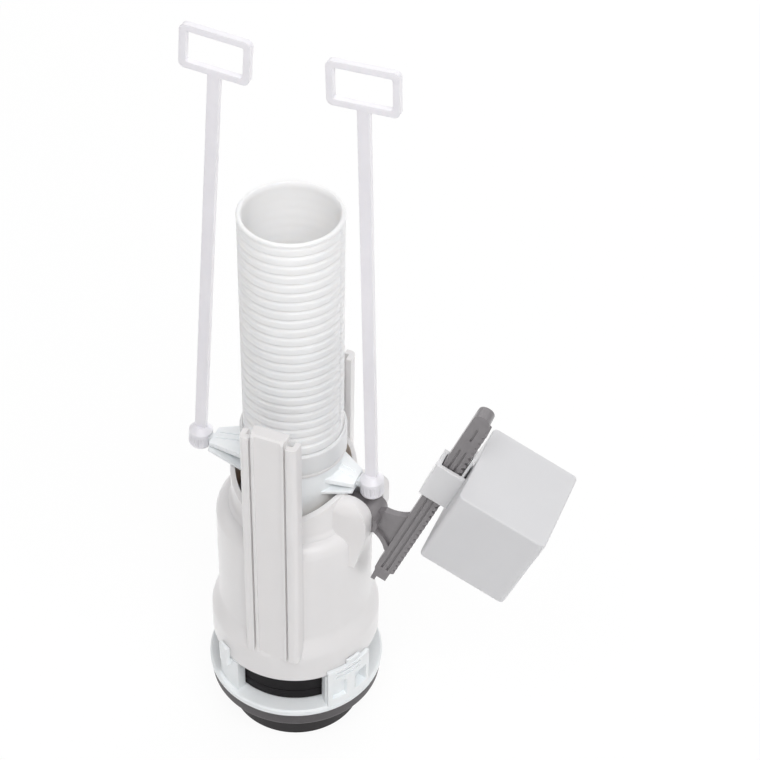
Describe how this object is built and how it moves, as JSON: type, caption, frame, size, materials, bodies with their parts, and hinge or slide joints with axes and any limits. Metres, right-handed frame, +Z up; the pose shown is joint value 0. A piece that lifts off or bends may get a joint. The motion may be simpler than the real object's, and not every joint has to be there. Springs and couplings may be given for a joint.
{
  "type": "toilet flush valve",
  "caption": "Dual flush valve for a concealed cistern: bell on a windowed seat basket, ribbed overflow tube, pull rods with loops, and a float on a toothed swing arm.",
  "frame": {"origin": "centre of the outlet sleeve's lower end, on the valve's axis", "axes": "+Z up along the valve's axis, +X towards the float and the half flush rod, -Y towards the front guide rail"},
  "size_m": [0.1723, 0.0818, 0.361],
  "materials": {
    "black_plastic": "satin black moulded plastic",
    "black_rubber": "soft matt black rubber",
    "basket_white": "satin cool white plastic",
    "housing_white": "satin warm white plastic",
    "tube_white": "satin white plastic",
    "rod_natural": "slightly translucent natural plastic",
    "arm_grey": "satin mid grey plastic",
    "float_white": "smooth cool white plastic"
  },
  "bodies": {
    "housing": {"outlet_sleeve": "black_plastic", "flange_gasket": "black_rubber", "seat_basket": "basket_white", "bell_housing": "housing_white", "float_arm_pin": "housing_white"},
    "valve": {"valve_stem": "housing_white", "lift_float": "housing_white", "seal_carrier": "black_plastic", "seal_washer": "black_rubber", "seal_nut": "basket_white", "tube_collar": "tube_white", "full_flush_arm": "basket_white", "half_flush_arm": "basket_white"},
    "tube": {"overflow_tube": "tube_white"},
    "full_rod": {"full_flush_rod": "rod_natural"},
    "half_rod": {"half_flush_rod": "rod_natural"},
    "float_lever": {"float_arm": "arm_grey"},
    "float": {"float_carriage": "float_white", "float_box": "float_white", "float_cap": "float_white"}
  },
  "joints": [
    {"name": "valve_lift", "type": "slide", "parent": "housing", "child": "valve", "axis": [0, 0, 1], "range_m": [0, 0.01]},
    {"name": "overflow_height", "type": "slide", "parent": "valve", "child": "tube", "axis": [0, 0, 1], "range_m": [0, 0.025]},
    {"name": "full_rod_swing", "type": "hinge", "parent": "valve", "child": "full_rod", "pos_m": [-0.045, 0, 0.1485], "axis": [0, 1, 0], "range_deg": [-10, 2.5]},
    {"name": "half_rod_swing", "type": "hinge", "parent": "valve", "child": "half_rod", "pos_m": [0.0368, 0, 0.1485], "axis": [0, 1, 0], "range_deg": [-2.5, 8]},
    {"name": "float_swing", "type": "hinge", "parent": "housing", "child": "float_lever", "pos_m": [0.036, 0, 0.131], "axis": [0, -1, 0], "range_deg": [0, 21.5]},
    {"name": "float_height", "type": "slide", "parent": "float_lever", "child": "float", "axis": [0.3665, 0, 0.9304], "range_m": [-0.018, 0.025]}
  ]
}
